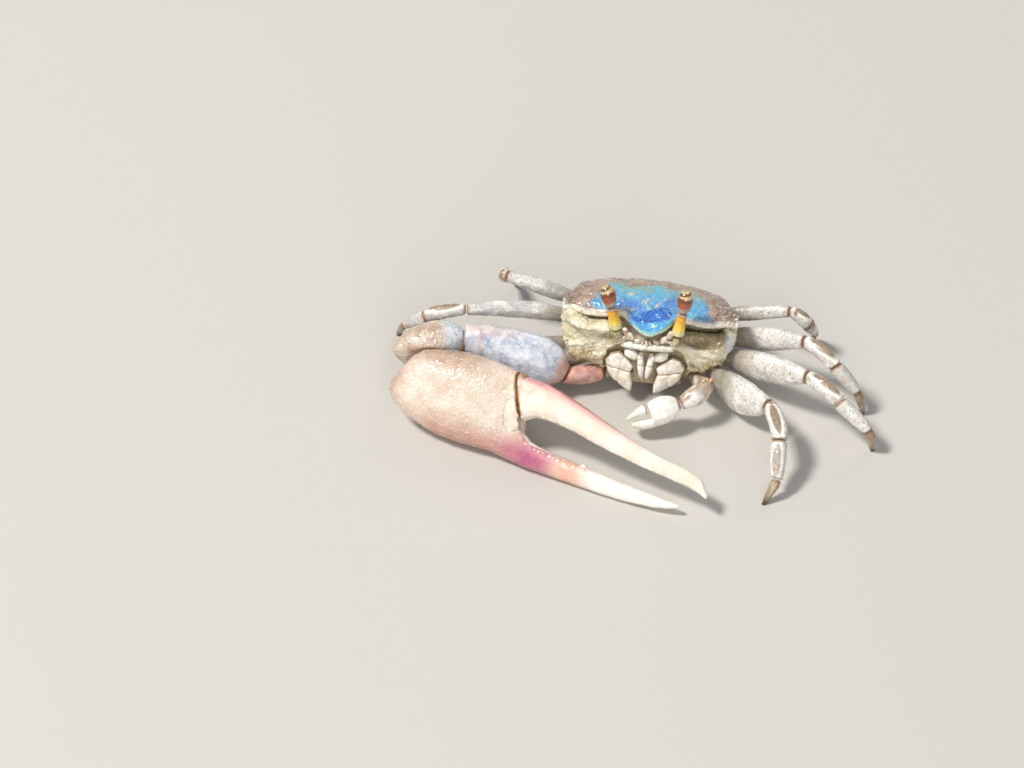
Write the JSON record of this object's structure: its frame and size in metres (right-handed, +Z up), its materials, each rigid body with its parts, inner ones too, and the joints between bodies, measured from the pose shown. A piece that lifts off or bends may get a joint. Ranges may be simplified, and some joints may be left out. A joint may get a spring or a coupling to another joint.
{
  "type": "fiddler crab",
  "caption": "Life-size still model of a male fiddler crab, standing, with its large right claw folded across its front.",
  "frame": {"origin": "centre of the bounding box, on the floor that the toes stand on", "axes": "+Z up, -Y the way the crab faces, +X its own left side, along its greatest width"},
  "size_m": [0.0552, 0.0376, 0.0147],
  "materials": {
    "carapace": "satin",
    "face": "granular",
    "underside": "satin",
    "mouthpart": "satin",
    "eyestalk": "satin",
    "eye": "gloss",
    "feeler": "satin",
    "claw_large_arm": "satin",
    "claw_large_palm": "granular",
    "claw_large_finger": "satin",
    "claw_small": "satin",
    "leg": "satin",
    "toe": "satin"
  },
  "bodies": {
    "root": {"carapace": "carapace", "face": "face", "sternum": "underside", "abdomen": "underside", "maxilliped_left": "mouthpart", "maxilliped_right": "mouthpart", "palp_left": "mouthpart", "palp_right": "mouthpart", "eyestalk_left": "eyestalk", "eyestalk_right": "eyestalk", "eye_left": "eye", "eye_right": "eye", "antenna_left": "feeler", "antenna_right": "feeler", "claw_large_ischium": "claw_large_arm", "claw_large_merus": "claw_large_arm", "claw_large_carpus": "claw_large_arm", "claw_large_palm": "claw_large_palm", "claw_large_dactyl": "claw_large_finger", "claw_small_merus": "claw_small", "claw_small_carpus": "claw_small", "claw_small_palm": "claw_small", "claw_small_dactyl": "claw_small", "leg_left_1_merus": "leg", "leg_left_1_carpus": "leg", "leg_left_1_propodus": "leg", "leg_left_1_dactyl": "toe", "leg_left_2_merus": "leg", "leg_left_2_carpus": "leg", "leg_left_2_propodus": "leg", "leg_left_2_dactyl": "toe", "leg_left_3_merus": "leg", "leg_left_3_carpus": "leg", "leg_left_3_propodus": "leg", "leg_left_3_dactyl": "toe", "leg_left_4_merus": "leg", "leg_left_4_carpus": "leg", "leg_left_4_propodus": "leg", "leg_left_4_dactyl": "toe", "leg_right_1_merus": "leg", "leg_right_1_carpus": "leg", "leg_right_1_propodus": "leg", "leg_right_1_dactyl": "toe", "leg_right_2_merus": "leg", "leg_right_2_carpus": "leg", "leg_right_2_propodus": "leg", "leg_right_2_dactyl": "toe", "leg_right_3_merus": "leg", "leg_right_3_carpus": "leg", "leg_right_3_propodus": "leg", "leg_right_3_dactyl": "toe", "leg_right_4_merus": "leg", "leg_right_4_carpus": "leg", "leg_right_4_propodus": "leg", "leg_right_4_dactyl": "toe"}
  },
  "joints": []
}
